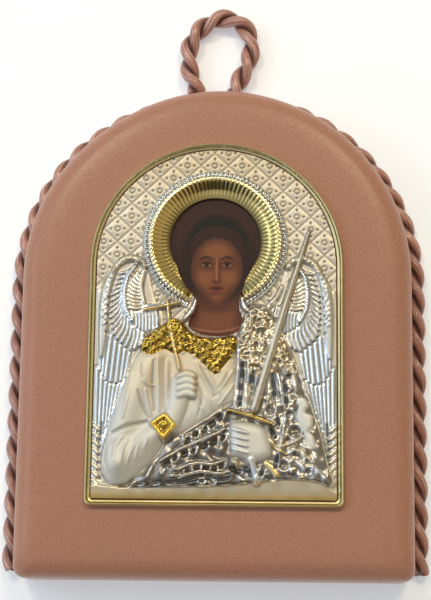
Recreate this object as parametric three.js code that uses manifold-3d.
// Arched icon panel: a leather covered board with a gilt framed silver relief of a
// winged half figure, edged with twisted cord and hung by a cord loop.
// Millimetres. The panel lies on its back: +Z leaves the front, +Y points to the loop.

import * as THREE from 'three';
import { mergeVertices } from 'three/addons/utils/BufferGeometryUtils.js';
import Module from 'manifold-3d';

const wasm = await Module();
wasm.setup();

// Leather covered board
const PANEL_WIDTH = 101;
const PANEL_HEIGHT = 128.4;
const PANEL_THICKNESS = 20.5;
const FRONT_EDGE_RADIUS = 6;
const BACK_EDGE_RADIUS = 1.6;
const PANEL_CORNER_RADIUS = 3;
const PANEL_CORNER_TIGHTENING = 0.6;

// Cord round the edge and cord of the loop
const EDGE_CORD_DIAMETER = 4.5;
const EDGE_CORD_VALLEY = 0.7;
const EDGE_CORD_LAY = 24;
const EDGE_CORD_STRANDS = 3;
const EDGE_CORD_STEPS_PER_LAY = 7;
const EDGE_CORD_END_ABOVE_BOTTOM = 2.5;
const CORD_GAP = 0.15;
const LOOP_CORD_DIAMETER = 5;
const LOOP_CORD_SIDES = 10;
const LOOP_CORD_STEPS = 18;
const LOOP_LIFT = 0.05;

// Gilt frame, printed card and silver plate
const FRAME_WIDTH = 65;
const FRAME_HEIGHT = 94.2;
const FRAME_BAND = 1.6;
const FRAME_RISE = 1.9;
const FRAME_CORNER_RADIUS = 1.6;
const FRAME_ABOVE_PANEL_ARCH = 1.4;
const FITTING_GAP = 0.3;
const CARD_THICKNESS = 0.6;
const SHEET_THICKNESS = 0.6;
const RELIEF_CEILING = 6;

// Facets
const ARCH_SEGMENTS = 40;
const CORNER_SEGMENTS = 3;
const EDGE_STEPS = 5;

const panelHalf = PANEL_WIDTH / 2;
const frameHalf = FRAME_WIDTH / 2;
const cordReach = CORD_GAP + EDGE_CORD_DIAMETER;

// The part is centred on its box, which the edge cord makes taller at the top only.
const panelBottomY = -(PANEL_HEIGHT + cordReach) / 2;
const panelArchY = panelBottomY + PANEL_HEIGHT - panelHalf;
const frameArchY = panelArchY + FRAME_ABOVE_PANEL_ARCH;
const frameBottomY = frameHalf - FRAME_HEIGHT;

const leather = new THREE.MeshStandardMaterial({ color: 0xa5775f, roughness: 0.7, metalness: 0 });
const satinCord = new THREE.MeshStandardMaterial({ color: 0xa87868, roughness: 0.5, metalness: 0 });
const gilt = new THREE.MeshStandardMaterial({ color: 0xc9a545, roughness: 0.25, metalness: 1 });
const silver = new THREE.MeshStandardMaterial({ color: 0xd5d3cc, roughness: 0.25, metalness: 1 });
const paint = new THREE.MeshStandardMaterial({ color: 0x5f3626, roughness: 0.6, metalness: 0 });

// Arched outline, anticlockwise, about the arch's centre.
function archOutline(half, bottom, corner, segments = ARCH_SEGMENTS) {
  const points = [];
  for (let i = 0; i <= segments; i++) {
    const angle = (Math.PI * i) / segments;
    points.push(new THREE.Vector2(half * Math.cos(angle), half * Math.sin(angle)));
  }
  for (const side of [-1, 1]) {
    const firstAngle = side < 0 ? Math.PI : 1.5 * Math.PI;
    for (let i = 0; i <= CORNER_SEGMENTS; i++) {
      const angle = firstAngle + (0.5 * Math.PI * i) / CORNER_SEGMENTS;
      const x = side * (half - corner) + corner * Math.cos(angle);
      points.push(new THREE.Vector2(x, bottom + corner + corner * Math.sin(angle)));
    }
  }
  return points;
}

const atHeight = (points, z) => points.map((p) => new THREE.Vector3(p.x, p.y, z));

// Closed body through rings of equal point count, with its faces turned outwards.
function loft(rings, capped = true) {
  const count = rings[0].length;
  const positions = rings.flat().flatMap((p) => [p.x, p.y, p.z]);
  const triangles = [];
  const bands = capped ? rings.length - 1 : rings.length;
  for (let r = 0; r < bands; r++) {
    const low = r * count;
    const high = ((r + 1) % rings.length) * count;
    for (let i = 0; i < count; i++) {
      const next = (i + 1) % count;
      triangles.push([low + i, low + next, high + next], [low + i, high + next, high + i]);
    }
  }
  if (capped) {
    const last = (rings.length - 1) * count;
    for (const [a, b, c] of capTriangles(rings[0])) triangles.push([c, b, a]);
    for (const [a, b, c] of capTriangles(rings.at(-1))) triangles.push([last + a, last + b, last + c]);
  }
  const geometry = new THREE.BufferGeometry();
  geometry.setAttribute('position', new THREE.Float32BufferAttribute(positions, 3));
  geometry.setIndex(triangles.flat());
  return signedVolume(geometry) < 0 ? turnedOutwards(geometry) : geometry;
}

// Triangles of a flat ring, wound the way that the ring runs.
function capTriangles(ring) {
  const centre = ring.reduce((sum, p) => sum.add(p), new THREE.Vector3()).divideScalar(ring.length);
  const normal = new THREE.Vector3();
  ring.forEach((p, i) => {
    const next = ring[(i + 1) % ring.length];
    normal.add(p.clone().sub(centre).cross(next.clone().sub(centre)));
  });
  const across = ring[0].clone().sub(centre).normalize();
  const along = normal.normalize().clone().cross(across);
  const flat = ring.map((p) => {
    const arm = p.clone().sub(centre);
    return new THREE.Vector2(arm.dot(across), arm.dot(along));
  });
  return THREE.ShapeUtils.triangulateShape(flat, []);
}

function signedVolume(geometry) {
  const index = geometry.index.array;
  const position = geometry.attributes.position;
  const corner = (k) => new THREE.Vector3().fromBufferAttribute(position, index[k]);
  let volume = 0;
  for (let k = 0; k < index.length; k += 3) {
    volume += corner(k).dot(corner(k + 1).cross(corner(k + 2))) / 6;
  }
  return volume;
}

function turnedOutwards(geometry) {
  const index = Array.from(geometry.index.array);
  for (let k = 0; k < index.length; k += 3) [index[k + 1], index[k + 2]] = [index[k + 2], index[k + 1]];
  geometry.setIndex(index);
  return geometry;
}

function toSolid(geometry) {
  geometry.deleteAttribute('normal');
  geometry.deleteAttribute('uv');
  const merged = mergeVertices(geometry);
  return new wasm.Manifold(new wasm.Mesh({
    numProp: 3,
    vertProperties: new Float32Array(merged.attributes.position.array),
    triVerts: new Uint32Array(merged.index.array),
  }));
}

function toGeometry(solid) {
  const mesh = solid.getMesh();
  const geometry = new THREE.BufferGeometry();
  geometry.setAttribute('position', new THREE.BufferAttribute(mesh.vertProperties, 3));
  geometry.setIndex(new THREE.BufferAttribute(mesh.triVerts, 1));
  return geometry;
}

const joined = (solids) => solids.reduce((sum, solid) => sum.add(solid));

function namedMesh(name, geometry, material) {
  geometry.computeVertexNormals();
  const mesh = new THREE.Mesh(geometry, material);
  mesh.name = name;
  return mesh;
}

// Leather covered board: straight wall, small back edge and full round front edge.
function leatherPanel() {
  const bottom = panelBottomY - panelArchY;
  const ring = (inset, z) => {
    const corner = PANEL_CORNER_RADIUS * (1 - (PANEL_CORNER_TIGHTENING * inset) / FRONT_EDGE_RADIUS);
    return atHeight(archOutline(panelHalf - inset, bottom + inset, corner), z);
  };
  const rings = [ring(BACK_EDGE_RADIUS, 0), ring(0, BACK_EDGE_RADIUS)];
  for (let i = 0; i <= EDGE_STEPS; i++) {
    const angle = (0.5 * Math.PI * i) / EDGE_STEPS;
    const inset = FRONT_EDGE_RADIUS * (1 - Math.cos(angle));
    rings.push(ring(inset, PANEL_THICKNESS - FRONT_EDGE_RADIUS * (1 - Math.sin(angle))));
  }
  return namedMesh('leather_panel', loft(rings), leather);
}

// Gilt frame: an arched bead, round on its outer side and stepped down to the plate.
function giltFrame() {
  const section = [
    [0, 0],
    [0, 0.6],
    [0.35, 1],
    [1, 0.65],
    [1, 0],
  ];
  const rings = section.map(([across, up]) => {
    const inset = across * FRAME_BAND;
    const corner = FRAME_CORNER_RADIUS * (1 - across / 2);
    return atHeight(archOutline(frameHalf - inset, frameBottomY + inset, corner), up * FRAME_RISE);
  });
  return namedMesh('gilt_frame', loft(rings, false), gilt);
}

const plateHalf = frameHalf - FRAME_BAND - FITTING_GAP;
const plateBottomY = frameBottomY + FRAME_BAND + FITTING_GAP;
const plateOutline = archOutline(plateHalf, plateBottomY, FRAME_CORNER_RADIUS / 2);

const prism = (outline, low, high) => loft([atHeight(outline, low), atHeight(outline, high)]);

function paintedPanel() {
  return namedMesh('painted_panel', prism(plateOutline, 0, CARD_THICKNESS), paint);
}

// Relief of the silver plate, in the plate's own frame: the arch's centre is the
// origin, the sheet's face is z = 0 and rises are heights above that face.
const RELIEF_SINK = 0.35;

const HALO_CENTRE = new THREE.Vector2(-0.3, 6);
const HALO_OPENING_RADIUS = 11.7;
const HALO_GILT_RADIUS = 16.4;
const HALO_FLUTES = 54;
const HALO_START_DEG = -56;
const HALO_END_DEG = 240;
const HALO_RIDGE_RISE = { inner: 0.5, outer: 1.9 };
const HALO_VALLEY_RISE = { inner: 0.25, outer: 1.2 };
const HALO_RING_RADIUS = 17.8;
const HALO_RING_HALF_WIDTH = 1;
const HALO_RING_RISE = 1.3;
const HALO_RING_STEPS = 24;

const LOZENGE_WIDTH = 7.1;
const LOZENGE_HEIGHT = 6.8;
const LOZENGE_FILL = 0.98;
const LOZENGE_RISE = 0.4;
const LOZENGE_ORIGIN = new THREE.Vector2(-0.7, 26.4);
const LOZENGE_LOWEST_Y = 3;
const LOZENGE_EDGE_MARGIN = 1.5;

const FEATHER_BOW = 0.6;
// Each tier runs from its first to its last feather, given by root and tip.
const FEATHER_TIERS = [
  {
    count: 6, halfWidth: 0.75, rise: 1.3,
    first: [[24.6, -2.5], [28.4, -9.5]],
    last: [[23.2, -13.5], [26.4, -21]],
  },
  {
    count: 5, halfWidth: 0.85, rise: 1.5,
    first: [[20.4, -12], [23.6, -22.5]],
    last: [[15.4, -14], [17.4, -22]],
  },
  {
    count: 5, halfWidth: 0.85, rise: 1.1,
    first: [[28.8, -18], [29.6, -34]],
    last: [[21.4, -23], [21.8, -32]],
  },
  {
    count: 5, halfWidth: 0.7, rise: 0.8,
    first: [[29.4, -34.5], [29.8, -58.5]],
    last: [[22.4, -33], [25.4, -56]],
  },
];
const WING_CREST = [[18.2, 0.6], [22, 2.8], [26.6, -1.4], [29, -6.5], [30, -13]];
const WING_BAND = [[21.8, -1.2], [23.8, -6], [24.2, -9.6], [22.6, -13.6], [20.4, -16.6]];

const UPPER_ARM = [[-16, -23], [-21.5, -35], [-24.6, -50]];
const FOREARM = [[-25.6, -54], [-21, -49.4], [-13, -42.6]];
const CUFF_CENTRE = [-12.7, -42.1];
const CUFF_HALF = 4.3;
const CUFF_LEAN = 1.2;
const CUFF_RISE = 4.1;
const CUFF_CROWN = 0.6;
const KNUCKLES = [-8.9, -31];
const FINGERS = 4;
const RAISED_FINGER_PITCH = 2;
const LOWER_FINGER_PITCH = 1.7;
const YOKE_RISE = 2.7;
const YOKE_OUTLINE = [
  [-18.4, -22.9], [-10.4, -22.6], [-5, -23.8], [0, -28.8], [4.6, -22.5],
  [5.2, -15.5], [-0.5, -16.5], [-8, -15.2], [-14, -15.6],
];
const YOKE_STUDS = [
  [-15, -20], [-11, -18.6], [-10, -21], [-7, -19.6], [-4, -21.4], [-1.6, -24], [1.6, -21.6], [0.6, -26],
];
const YOKE_STUD_RADIUS = 1;
const YOKE_STUD_RISE = 0.7;
const SLEEVE_FOLDS = [
  [[-15.6, -25.5], [-17.6, -35], [-16.2, -43]],
  [[-12.6, -25], [-13.2, -33], [-12.6, -38.6]],
  [[-26, -44], [-21.6, -45], [-16.4, -42.6]],
  [[-21.4, -57], [-19.6, -51.6], [-19, -47.4]],
  [[-17.6, -55], [-16.4, -50], [-16.6, -46.6]],
  [[-24.6, -56.6], [-24, -51.4], [-22, -48]],
];
const CHEST_FOLDS = 3;
const CHEST_FOLD_PITCH = 4.2;
const WAIST_FOLDS = 4;
const WAIST_FOLD_PITCH = 4.4;
const CLOAK_FOLDS = 5;
const CLOAK_EDGE = [[5, -20.6], [5.2, -28], [5.1, -36.8]];
const BASE_SWELL = [[-28, -60], [0, -58.4], [28, -60]];

const SWORD_BLADE = [[23.7, 9], [17, -13], [10.2, -36.6]];
const SWORD_GUARD = [[3.6, -37.7], [9.2, -39.2], [14.4, -41]];
const SWORD_GRIP = [[9.6, -50], [10.6, -55.8]];
const STAFF = [[-12.5, -9.4], [-11.2, -17], [-8.8, -28]];
const STAFF_BAR = [[-18, -11.9], [-13, -11], [-8.6, -9.9]];

const NECK_TOP_Y = -2;
const NECK_BASE_Y = -16;
const NECK_LOWEST_Y = -18.8;
const OPENING_SIDES = 36;
const NECK_CURVE_STEPS = 6;

const ROOF_PROFILE = [[-1, 0], [0, 1], [1, 0]];
const ROUND_PROFILE = [[-1, 0], [-0.72, 0.7], [0, 1], [0.72, 0.7], [1, 0]];
const FLAT_PROFILE = [[-1, 0], [-0.8, 1], [0.8, 1], [1, 0]];

// A size along a stroke: one number all along, or a start, a middle and an end.
function sizeAt(size, t) {
  if (typeof size === 'number') return size;
  const [start, middle, end] = size;
  return t < 0.5 ? start + (middle - start) * t * 2 : middle + (end - middle) * (t * 2 - 1);
}

// Raised stroke along a path: a closed ridge whose foot is sunk into the sheet.
function stroke(path, { halfWidth, rise, profile = ROUND_PROFILE, steps = 3 }) {
  const curve = new THREE.CatmullRomCurve3(path.map(([x, y]) => new THREE.Vector3(x, y, 0)));
  const rings = [];
  for (let i = 0; i <= steps; i++) {
    const t = i / steps;
    const centre = curve.getPointAt(t);
    const tangent = curve.getTangentAt(t);
    const side = new THREE.Vector2(tangent.y, -tangent.x);
    const point = (across, z) => {
      const offset = across * sizeAt(halfWidth, t);
      return new THREE.Vector3(centre.x + side.x * offset, centre.y + side.y * offset, z);
    };
    const top = profile.map(([across, up]) => point(across, up * sizeAt(rise, t)));
    rings.push([point(-1, -RELIEF_SINK), ...top, point(1, -RELIEF_SINK)]);
  }
  return toSolid(loft(rings));
}

// Ring of points on a turned ellipse.
function ellipseRing([x, y], [xRadius, yRadius], sides, z, turnDeg = 0) {
  const turn = THREE.MathUtils.degToRad(turnDeg);
  const ring = [];
  for (let i = 0; i < sides; i++) {
    const angle = (2 * Math.PI * i) / sides;
    const arm = new THREE.Vector2(xRadius * Math.cos(angle), yRadius * Math.sin(angle));
    arm.rotateAround(new THREE.Vector2(), turn);
    ring.push(new THREE.Vector3(x + arm.x, y + arm.y, z));
  }
  return ring;
}

const scaled = (radii, scale) => radii.map((radius) => radius * scale);

// Domed mound over a turned ellipse.
function mound(centre, radii, { turnDeg, rise, sides = 14 }) {
  const levels = [[1, -RELIEF_SINK], [1, 0], [0.82, 0.55 * rise], [0.35, rise]];
  const rings = levels.map(([scale, z]) => ellipseRing(centre, scaled(radii, scale), sides, z, turnDeg));
  return toSolid(loft(rings));
}

// Low boss with straight sides: a cut off pyramid that stands on the level given.
function boss(centre, radii, { sides, level, rise }) {
  const foot = ellipseRing(centre, radii, sides, level - RELIEF_SINK);
  const topScale = 0.4;
  return toSolid(loft([foot, ellipseRing(centre, scaled(radii, topScale), sides, level + rise)]));
}

function haloPoint(radius, degrees, z) {
  const angle = THREE.MathUtils.degToRad(degrees);
  const x = HALO_CENTRE.x + radius * Math.cos(angle);
  return new THREE.Vector3(x, HALO_CENTRE.y + radius * Math.sin(angle), z);
}

// Gilt halo: flutes that rise from the opening to a raised silver ring.
function halo() {
  const halfFlute = 180 / HALO_FLUTES;
  const innerRadius = HALO_OPENING_RADIUS - FITTING_GAP;
  const sections = [];
  for (let i = 0; HALO_START_DEG + i * halfFlute <= HALO_END_DEG; i++) {
    const degrees = HALO_START_DEG + i * halfFlute;
    const rise = i % 2 ? HALO_VALLEY_RISE : HALO_RIDGE_RISE;
    sections.push([
      haloPoint(innerRadius, degrees, -RELIEF_SINK),
      haloPoint(HALO_GILT_RADIUS, degrees, -RELIEF_SINK),
      haloPoint(HALO_GILT_RADIUS, degrees, rise.outer),
      haloPoint(innerRadius, degrees, rise.inner),
    ]);
  }
  const ringPath = [];
  for (let i = 0; i <= HALO_RING_STEPS; i++) {
    const degrees = HALO_START_DEG + ((HALO_END_DEG - HALO_START_DEG) * i) / HALO_RING_STEPS;
    ringPath.push(haloPoint(HALO_RING_RADIUS, degrees, 0).toArray());
  }
  const ring = stroke(ringPath, {
    halfWidth: HALO_RING_HALF_WIDTH,
    rise: HALO_RING_RISE,
    profile: FLAT_PROFILE,
    steps: HALO_RING_STEPS,
  });
  return [toSolid(loft(sections)), ring];
}

// Lozenge ground above the wings: one low pyramid for each lozenge that clears the halo.
function lozengeGround() {
  const bosses = [];
  const rows = Math.ceil((2 * plateHalf) / LOZENGE_HEIGHT);
  const columns = Math.ceil((2 * plateHalf) / LOZENGE_WIDTH);
  const radii = scaled([LOZENGE_WIDTH / 2, LOZENGE_HEIGHT / 2], LOZENGE_FILL);
  for (let row = -rows; row <= rows; row++) {
    for (let column = -columns; column <= columns; column++) {
      const x = LOZENGE_ORIGIN.x + (column * LOZENGE_WIDTH) / 2;
      const y = LOZENGE_ORIGIN.y + (row * LOZENGE_HEIGHT) / 2;
      const staggered = (row + column) % 2 === 0;
      const onArch = y > LOZENGE_LOWEST_Y && Math.hypot(x, y) < plateHalf - LOZENGE_EDGE_MARGIN;
      const clearOfHalo = Math.hypot(x - HALO_CENTRE.x, y - HALO_CENTRE.y) > HALO_RING_RADIUS;
      if (staggered && onArch && clearOfHalo) {
        bosses.push(boss([x, y], radii, { sides: 4, level: 0, rise: LOZENGE_RISE }));
      }
    }
  }
  return bosses;
}

// One wing: its crest, its inner band and its tiers of feathers. side is -1 or 1.
function wing(side) {
  const mirrored = (points) => points.map(([x, y]) => [side * x, y]);
  const between = ([a, b], t) => [a[0] + (b[0] - a[0]) * t, a[1] + (b[1] - a[1]) * t];
  const forms = [
    stroke(mirrored(WING_CREST), { halfWidth: [0.8, 1.4, 0.9], rise: [1, 1.7, 1], steps: 7 }),
    stroke(mirrored(WING_BAND), {
      halfWidth: [0.6, 0.9, 0.6],
      rise: [1.4, 2, 1.4],
      profile: ROOF_PROFILE,
      steps: 6,
    }),
  ];
  for (const { count, halfWidth, rise, first, last } of FEATHER_TIERS) {
    for (let i = 0; i < count; i++) {
      const root = between([first[0], last[0]], i / (count - 1));
      const tip = between([first[1], last[1]], i / (count - 1));
      const [middleX, middleY] = between([root, tip], 0.5);
      forms.push(stroke(mirrored([root, [middleX + FEATHER_BOW, middleY], tip]), {
        halfWidth: [0.8 * halfWidth, halfWidth, 0.5 * halfWidth],
        rise: [rise, rise, 0.7 * rise],
        profile: ROOF_PROFILE,
        steps: 2,
      }));
    }
  }
  return forms;
}

// Chest, raised arm and closed hand in the tunic, with the folds of the sleeve and chest.
function tunic() {
  const forms = [
    mound([-4, -41], [20, 18], { turnDeg: 90, rise: 1.9 }),
    stroke(UPPER_ARM, { halfWidth: [4, 5.4, 4.6], rise: [2.6, 3.4, 3.6], steps: 5 }),
    stroke(FOREARM, { halfWidth: [4.4, 5.4, 3.2], rise: [3.2, 4.2, 3.6], steps: 5 }),
    stroke([FOREARM.at(-1), [-9.6, -36.5], KNUCKLES], { halfWidth: [2.8, 3.3, 3], rise: [3.6, 4.2, 3.8] }),
  ];
  for (let i = 0; i < FINGERS; i++) {
    const y = KNUCKLES[1] + 1.6 - i * RAISED_FINGER_PITCH;
    const finger = [[-8.6, y + 0.6], [-6.4, y + 0.5], [-4.6, y - 0.9]];
    forms.push(stroke(finger, { halfWidth: [0.9, 1, 0.7], rise: [4.3, 4.8, 3.8] }));
  }
  for (const fold of SLEEVE_FOLDS) {
    forms.push(stroke(fold, { halfWidth: [0.5, 0.9, 0.5], rise: [3, 4.6, 3.2], profile: ROOF_PROFILE }));
  }
  const chestFold = { halfWidth: 0.9, rise: 2.7, profile: ROOF_PROFILE, steps: 1 };
  for (let i = 0; i < CHEST_FOLDS; i++) {
    const drop = i * CHEST_FOLD_PITCH;
    const point = [0, -32 - drop];
    forms.push(stroke([[-5.6, -24.6 - drop], point], chestFold));
    forms.push(stroke([[5, -26 - drop], point], chestFold));
  }
  return forms;
}

// Yoke at the neck with its studs, and the square cuff.
function yokeAndCuff() {
  const outline = YOKE_OUTLINE.map(([x, y]) => new THREE.Vector2(x, y));
  const forms = [toSolid(prism(outline, -RELIEF_SINK, YOKE_RISE))];
  for (const stud of YOKE_STUDS) {
    const radii = [YOKE_STUD_RADIUS, YOKE_STUD_RADIUS];
    forms.push(boss(stud, radii, { sides: 5, level: YOKE_RISE, rise: YOKE_STUD_RISE }));
  }
  const corners = [[CUFF_HALF, 0], [CUFF_LEAN, CUFF_HALF], [-CUFF_HALF, 0], [-CUFF_LEAN, -CUFF_HALF]];
  const ring = (scale, z) => corners.map(([x, y]) =>
    new THREE.Vector3(CUFF_CENTRE[0] + scale * x, CUFF_CENTRE[1] + scale * y, z));
  const crownScale = 0.6;
  forms.push(toSolid(loft([
    ring(1, -RELIEF_SINK),
    ring(1, CUFF_RISE),
    ring(crownScale, CUFF_RISE + CUFF_CROWN),
  ])));
  return forms;
}

// Cloak over the far shoulder and across the waist, in long raised folds, and the base swell.
function cloak() {
  const forms = [
    mound([15, -40], [20, 11], { turnDeg: 100, rise: 2.2 }),
    mound([0, -51], [19, 8], { turnDeg: 24, rise: 2.4 }),
    stroke(BASE_SWELL, { halfWidth: [2, 3, 2], rise: [0.8, 1.5, 0.8], steps: 6 }),
    stroke(CLOAK_EDGE, { halfWidth: 0.8, rise: [2.6, 3.4, 3.4], profile: FLAT_PROFILE }),
  ];
  for (let i = 0; i < WAIST_FOLDS; i++) {
    const drop = i * WAIST_FOLD_PITCH;
    const fold = [[-16.8 + drop, -57], [-6 + 2 * i, -45.6 - drop / 2], [2.4 + i, -36.6 - drop]];
    const size = { halfWidth: [0.7, 0.9, 0.8], rise: [2, 3.3, 3.6] };
    forms.push(stroke(fold, { ...size, profile: ROOF_PROFILE, steps: 4 }));
  }
  for (let i = 0; i < CLOAK_FOLDS; i++) {
    const spread = i / (CLOAK_FOLDS - 1);
    const fold = [
      [8 + 7 * spread, -20 - 3 * spread],
      [10.5 + 10 * spread, -36 - 3 * spread],
      [14 + 13.4 * spread, -55 + 0.6 * spread],
    ];
    const size = { halfWidth: [0.8, 1.1, 0.9], rise: [2, 3.1 - spread, 1.8] };
    forms.push(stroke(fold, { ...size, profile: ROOF_PROFILE, steps: 4 }));
  }
  return forms;
}

// Lower hand, sword with its guard and grip, and the staff with its cross bar.
function handSwordAndStaff() {
  const slim = { profile: ROOF_PROFILE, steps: 2 };
  const forms = [
    mound([9.2, -46.6], [4.9, 4.2], { turnDeg: -8, rise: 4.2, sides: 12 }),
    stroke(SWORD_BLADE, { halfWidth: [0.3, 0.9, 1.1], rise: [2.2, 3, 3.8], ...slim }),
    stroke(SWORD_GUARD, { halfWidth: [0.6, 0.9, 0.6], rise: [3.8, 4.6, 3.6] }),
    stroke(SWORD_GRIP, { halfWidth: 0.9, rise: 3.2 }),
    stroke(STAFF, { halfWidth: 0.7, rise: [2.4, 3.6, 4.4], ...slim }),
    stroke(STAFF_BAR, { halfWidth: 0.8, rise: 2.8, ...slim }),
  ];
  for (let i = 0; i < FINGERS; i++) {
    const y = -43.6 - i * LOWER_FINGER_PITCH;
    const finger = [[8.4, y], [6, y], [4, y - 0.7]];
    forms.push(stroke(finger, { halfWidth: [0.8, 0.9, 0.7], rise: [4.2, 4.6, 3.4] }));
  }
  return forms;
}

// Opening for the painted head and neck.
function headOpening() {
  const centre = HALO_CENTRE.toArray();
  const head = ellipseRing(centre, [HALO_OPENING_RADIUS, HALO_OPENING_RADIUS], OPENING_SIDES, 0);
  const neck = new THREE.Shape();
  neck.moveTo(-5.4, NECK_TOP_Y);
  neck.bezierCurveTo(-5, -8, -4.6, -12, -6.8, NECK_BASE_Y);
  neck.bezierCurveTo(-4.5, NECK_LOWEST_Y, 3.6, NECK_LOWEST_Y, 5.8, NECK_BASE_Y);
  neck.bezierCurveTo(5, -12, 5.4, -8, 5.8, NECK_TOP_Y);
  const cut = (outline) => toSolid(prism(outline, -2 * SHEET_THICKNESS, 2 * RELIEF_CEILING));
  return cut(head).add(cut(neck.getPoints(NECK_CURVE_STEPS)));
}

function silverPlate() {
  const sheet = toSolid(prism(plateOutline, -SHEET_THICKNESS, 0));
  const rimInset = 0.2;
  const bounds = archOutline(plateHalf - rimInset, plateBottomY + rimInset, FRAME_CORNER_RADIUS / 2);
  const reach = toSolid(prism(bounds, -SHEET_THICKNESS / 2, RELIEF_CEILING));
  const forms = [
    ...lozengeGround(),
    ...halo(),
    ...wing(-1),
    ...wing(1),
    ...tunic(),
    ...cloak(),
    ...yokeAndCuff(),
    ...handSwordAndStaff(),
  ];
  const relief = joined(forms).intersect(reach).add(sheet).subtract(headOpening());
  return namedMesh('silver_plate', toGeometry(relief), silver);
}

// Twisted cord round both sides and the arch, glued to the wall near the back edge.
function edgeCord() {
  const cordRadius = EDGE_CORD_DIAMETER / 2;
  const pathRadius = panelHalf + CORD_GAP + cordRadius;
  const endY = panelBottomY + EDGE_CORD_END_ABOVE_BOTTOM - panelArchY;
  const straight = -endY;
  const archLength = Math.PI * pathRadius;
  const length = archLength + 2 * straight;
  const steps = 2 * Math.round((length * EDGE_CORD_STEPS_PER_LAY) / EDGE_CORD_LAY / 2);
  const sides = 2 * EDGE_CORD_STRANDS;
  const rings = [];
  for (let i = 0; i <= steps; i++) {
    const run = (length * i) / steps;
    const angle = Math.min(Math.max((run - straight) / pathRadius, 0), Math.PI);
    const belowArch = run < straight ? run - straight : Math.min(0, straight + archLength - run);
    const outwards = new THREE.Vector2(Math.cos(angle), Math.sin(angle));
    const twist = (2 * Math.PI * (run - length / 2)) / EDGE_CORD_LAY;
    const ring = [];
    for (let k = 0; k < sides; k++) {
      const turn = twist + (2 * Math.PI * k) / sides;
      const radius = k % 2 ? cordRadius * EDGE_CORD_VALLEY : cordRadius;
      const reach = pathRadius + radius * Math.cos(turn);
      const x = reach * outwards.x;
      const y = reach * outwards.y + belowArch;
      ring.push(new THREE.Vector3(x, y, cordRadius + CORD_GAP + radius * Math.sin(turn)));
    }
    rings.push(ring);
  }
  return namedMesh('edge_cord', loft(rings), satinCord);
}

// Route of the hanging loop's centre line, from the left leg round to the right leg.
const LOOP_ROUTE = [
  [-6.8, 66.9], [-7.4, 68.8], [-8.3, 71.2], [-8.8, 74], [-8.75, 76.8], [-8.3, 79.4], [-7.1, 81.9],
  [-5.2, 84.1], [-2.8, 85.7], [-0.1, 86.6], [2.4, 86.4], [4.8, 85.3], [6.6, 83.5], [7.6, 81.1],
  [7.9, 78.5], [7.7, 75.9], [6.8, 73], [5.5, 70.4], [4.4, 68.3], [3.9, 66.9],
];

function hangingLoop() {
  const radius = LOOP_CORD_DIAMETER / 2;
  const section = new THREE.Shape();
  for (let k = 0; k < LOOP_CORD_SIDES; k++) {
    const angle = (2 * Math.PI * k) / LOOP_CORD_SIDES;
    const x = radius * Math.cos(angle);
    const y = radius * Math.sin(angle);
    if (k === 0) section.moveTo(x, y);
    else section.lineTo(x, y);
  }
  section.closePath();
  const route = LOOP_ROUTE.map(([x, y]) => new THREE.Vector3(x, y, radius + LOOP_LIFT));
  const geometry = new THREE.ExtrudeGeometry(section, {
    steps: LOOP_CORD_STEPS,
    bevelEnabled: false,
    extrudePath: new THREE.CatmullRomCurve3(route),
  });
  return namedMesh('hanging_loop', geometry, satinCord);
}

const panel = new THREE.Group();
panel.name = 'icon_panel';

const board = new THREE.Group();
board.position.set(0, panelArchY, 0);
board.add(leatherPanel(), edgeCord());

const picture = new THREE.Group();
picture.position.set(0, frameArchY, PANEL_THICKNESS);
const plate = silverPlate();
plate.position.z = CARD_THICKNESS + SHEET_THICKNESS;
picture.add(giltFrame(), paintedPanel(), plate);

panel.add(board, picture, hangingLoop());

export default panel;
